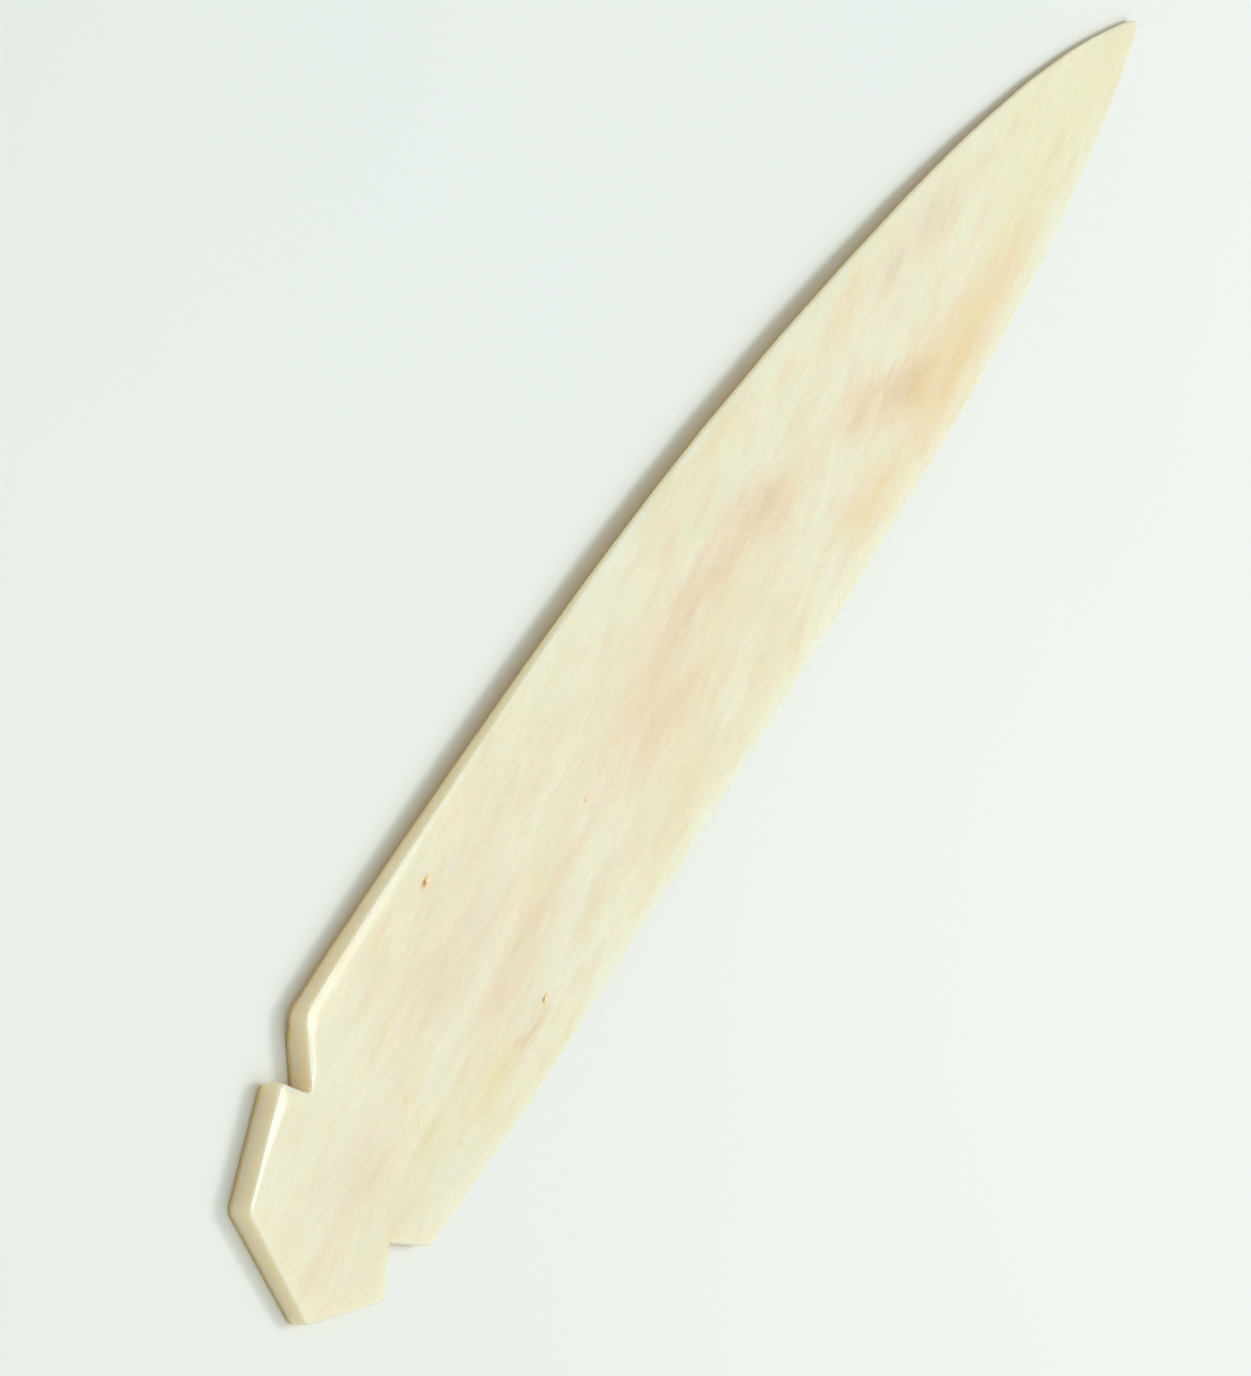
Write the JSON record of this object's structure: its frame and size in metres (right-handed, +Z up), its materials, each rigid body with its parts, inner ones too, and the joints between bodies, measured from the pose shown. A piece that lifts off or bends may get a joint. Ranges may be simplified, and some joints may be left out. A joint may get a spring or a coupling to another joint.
{
  "type": "bone folder",
  "caption": "Flat polished bone folder with a notched, flared butt and a long blade that curves to a point, for creasing and burnishing paper.",
  "frame": {"origin": "centre of the bounding box on the flat underside, which rests on the table", "axes": "+X along the length from the flat end to the point, +Y towards the more curved left edge, +Z up through the thickness"},
  "size_m": [0.1524, 0.0236, 0.0021],
  "materials": {
    "bone": "polished"
  },
  "bodies": {
    "root": {"folder_blade": "bone"}
  },
  "joints": []
}
